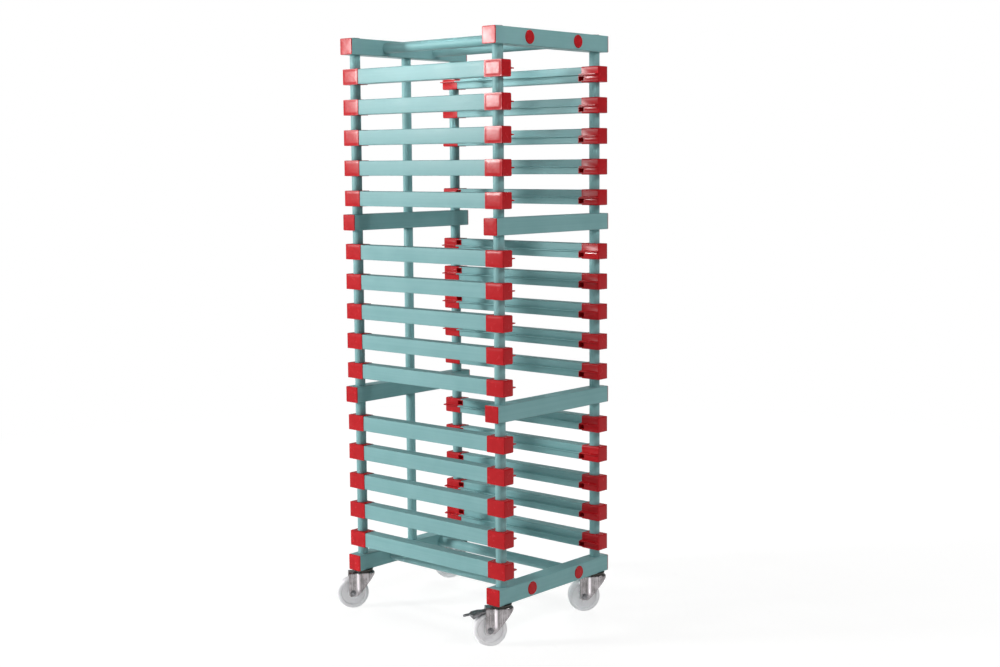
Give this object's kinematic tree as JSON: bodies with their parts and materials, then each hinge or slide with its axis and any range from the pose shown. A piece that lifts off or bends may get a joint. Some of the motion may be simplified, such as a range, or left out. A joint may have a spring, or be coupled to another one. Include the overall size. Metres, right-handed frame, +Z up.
{
  "type": "tray rack trolley",
  "caption": "Tall wheeled tray rack: ledged side rails in moulded end caps threaded on corner posts, square cross beams, a rear stop post and swivel casters.",
  "frame": {"origin": "on the floor under the middle of the rack, midway between the four post axes", "axes": "+X across the trays to the right seen from the front, +Y from the open front to the stop post at the back, +Z up"},
  "size_m": [0.5877, 0.7233, 1.8075],
  "materials": {
    "grey_green_pvc": "satin extruded",
    "red_plastic": "moulded, semi gloss",
    "stainless_steel": "pressed, satin",
    "white_nylon": "moulded, satin",
    "zinc_steel": "dull plated",
    "inner_plastic": "moulded"
  },
  "bodies": {
    "rack": {"back_beam_bottom": "grey_green_pvc", "back_beam_lower": "grey_green_pvc", "back_beam_top": "grey_green_pvc", "back_beam_upper": "grey_green_pvc", "beam_crush_tubes": "inner_plastic", "beam_end_plugs_left": "red_plastic", "beam_end_plugs_right": "red_plastic", "caster_king_nuts": "stainless_steel", "caster_stems": "stainless_steel", "caster_swivel_bearings": "stainless_steel", "cross_tube_bottom_left": "grey_green_pvc", "cross_tube_bottom_right": "grey_green_pvc", "cross_tube_plugs": "red_plastic", "cross_tube_top_left": "grey_green_pvc", "cross_tube_top_right": "grey_green_pvc", "front_beam_bottom": "grey_green_pvc", "front_beam_lower": "grey_green_pvc", "front_beam_top": "grey_green_pvc", "front_beam_upper": "grey_green_pvc", "post_core_back_left": "stainless_steel", "post_core_back_right": "stainless_steel", "post_core_front_left": "stainless_steel", "post_core_front_right": "stainless_steel", "post_screws": "stainless_steel", "post_sleeves_back_left": "grey_green_pvc", "post_sleeves_back_right": "grey_green_pvc", "post_sleeves_front_left": "grey_green_pvc", "post_sleeves_front_right": "grey_green_pvc", "rail_end_caps_back_left": "red_plastic", "rail_end_caps_back_right": "red_plastic", "rail_end_caps_front_left": "red_plastic", "rail_end_caps_front_right": "red_plastic", "stop_post_core": "stainless_steel", "stop_post_tubes": "grey_green_pvc", "tray_rails_left_lower": "grey_green_pvc", "tray_rails_left_middle": "grey_green_pvc", "tray_rails_left_upper": "grey_green_pvc", "tray_rails_right_lower": "grey_green_pvc", "tray_rails_right_middle": "grey_green_pvc", "tray_rails_right_upper": "grey_green_pvc"},
    "swivel_front_left": {"caster_axle_front_left": "stainless_steel", "caster_fork_front_left": "stainless_steel"},
    "wheel_front_left": {"caster_wheel_bush_front_left": "inner_plastic", "caster_wheel_front_left": "white_nylon"},
    "brake_front_left": {"brake_pedal_front_left": "zinc_steel"},
    "swivel_front_right": {"caster_axle_front_right": "stainless_steel", "caster_fork_front_right": "stainless_steel"},
    "wheel_front_right": {"caster_wheel_bush_front_right": "inner_plastic", "caster_wheel_front_right": "white_nylon"},
    "swivel_back_left": {"caster_axle_back_left": "stainless_steel", "caster_fork_back_left": "stainless_steel"},
    "wheel_back_left": {"caster_wheel_back_left": "white_nylon", "caster_wheel_bush_back_left": "inner_plastic"},
    "swivel_back_right": {"caster_axle_back_right": "stainless_steel", "caster_fork_back_right": "stainless_steel"},
    "wheel_back_right": {"caster_wheel_back_right": "white_nylon", "caster_wheel_bush_back_right": "inner_plastic"},
    "brake_back_right": {"brake_pedal_back_right": "zinc_steel"}
  },
  "joints": [
    {"name": "swivel_front_left", "type": "hinge", "parent": "rack", "child": "swivel_front_left", "pos_m": [-0.224, -0.296, 0.117], "axis": [0, 0, 1], "continuous": true},
    {"name": "roll_front_left", "type": "hinge", "parent": "swivel_front_left", "child": "wheel_front_left", "pos_m": [-0.25001, -0.27258, 0.05], "axis": [-0.6691, -0.7431, 0], "continuous": true},
    {"name": "brake_front_left", "type": "hinge", "parent": "swivel_front_left", "child": "brake_front_left", "pos_m": [-0.24852, -0.27392, 0.1074], "axis": [-0.6691, -0.7431, 0], "range_deg": [0, 7]},
    {"name": "swivel_front_right", "type": "hinge", "parent": "rack", "child": "swivel_front_right", "pos_m": [0.224, -0.296, 0.117], "axis": [0, 0, 1], "continuous": true},
    {"name": "roll_front_right", "type": "hinge", "parent": "swivel_front_right", "child": "wheel_front_right", "pos_m": [0.19925, -0.27125, 0.05], "axis": [-0.7071, -0.7071, 0], "continuous": true},
    {"name": "swivel_back_left", "type": "hinge", "parent": "rack", "child": "swivel_back_left", "pos_m": [-0.224, 0.296, 0.117], "axis": [0, 0, 1], "continuous": true},
    {"name": "roll_back_left", "type": "hinge", "parent": "swivel_back_left", "child": "wheel_back_left", "pos_m": [-0.2512, 0.31803, 0.05], "axis": [-0.6293, -0.7771, 0], "continuous": true},
    {"name": "swivel_back_right", "type": "hinge", "parent": "rack", "child": "swivel_back_right", "pos_m": [0.224, 0.296, 0.117], "axis": [0, 0, 1], "continuous": true},
    {"name": "roll_back_right", "type": "hinge", "parent": "swivel_back_right", "child": "wheel_back_right", "pos_m": [0.19759, 0.31896, 0.05], "axis": [-0.6561, -0.7547, 0], "continuous": true},
    {"name": "brake_back_right", "type": "hinge", "parent": "swivel_back_right", "child": "brake_back_right", "pos_m": [0.19909, 0.31765, 0.1074], "axis": [-0.6561, -0.7547, 0], "range_deg": [0, 7]}
  ]
}
